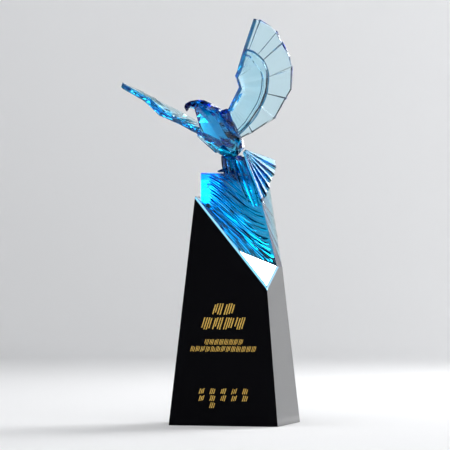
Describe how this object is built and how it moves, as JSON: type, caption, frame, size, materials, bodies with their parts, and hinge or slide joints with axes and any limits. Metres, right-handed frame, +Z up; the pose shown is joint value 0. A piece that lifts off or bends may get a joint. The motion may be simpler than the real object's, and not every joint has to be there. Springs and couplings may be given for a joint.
{
  "type": "eagle trophy",
  "caption": "Glass award: a faceted blue eagle with raised wings and fanned tail on a carved blue rock, glued to a slanted black glass plinth.",
  "frame": {"origin": "centre of the plinth's underside, on the plane it stands on", "axes": "+Z up, -Y out of the plinth's inscribed front face, +X toward the low end of the slanted cut"},
  "size_m": [0.1757, 0.1166, 0.3761],
  "materials": {
    "black_glass": "opaque black glass, polished flat faces with narrow ground bevels along the slanted top",
    "blue_glass": "clear saturated blue glass, polished facets and cut grooves",
    "pale_blue_glass": "clear pale blue glass in thin polished blades"
  },
  "bodies": {
    "root": {"plinth": "black_glass", "rock": "blue_glass", "eagle_body": "blue_glass", "wing_near": "pale_blue_glass", "wing_far": "pale_blue_glass", "tail": "pale_blue_glass"}
  },
  "joints": []
}
